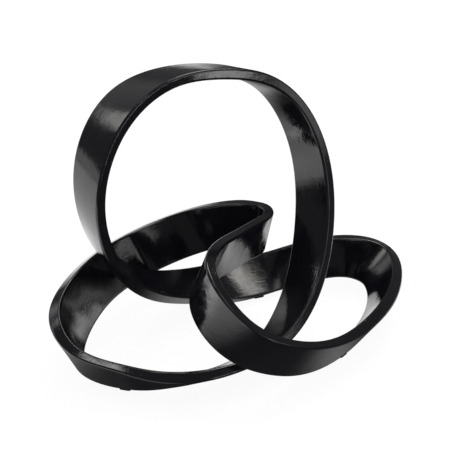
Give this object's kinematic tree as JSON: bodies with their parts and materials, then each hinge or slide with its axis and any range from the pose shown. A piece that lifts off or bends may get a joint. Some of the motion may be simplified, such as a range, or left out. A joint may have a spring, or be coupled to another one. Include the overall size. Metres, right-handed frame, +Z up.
{
  "type": "ribbon knot sculpture",
  "caption": "Gloss black metal sculpture: a thick flat band that turns over and is knotted into an upright arch and two low loops.",
  "frame": {"origin": "under the middle of the knot, on the surface that it stands on", "axes": "+Z up, +X to the viewer's right, +Y away from the viewer of the picture"},
  "size_m": [0.2812, 0.1976, 0.2156],
  "materials": {
    "enamelled_casting": "gloss black enamel",
    "enamelled_weld": "gloss black enamel, ground flush",
    "pad_rubber": "matt"
  },
  "bodies": {
    "root": {"casting_crown": "enamelled_casting", "casting_left_arch": "enamelled_casting", "casting_right_loop": "enamelled_casting", "casting_left_loop": "enamelled_casting", "casting_right_arch": "enamelled_casting", "weld_crown": "enamelled_weld", "weld_heel": "enamelled_weld", "weld_fold": "enamelled_weld", "weld_front": "enamelled_weld", "weld_right": "enamelled_weld", "pad_rear": "pad_rubber", "pad_front_right": "pad_rubber", "pad_front_left": "pad_rubber"}
  },
  "joints": []
}
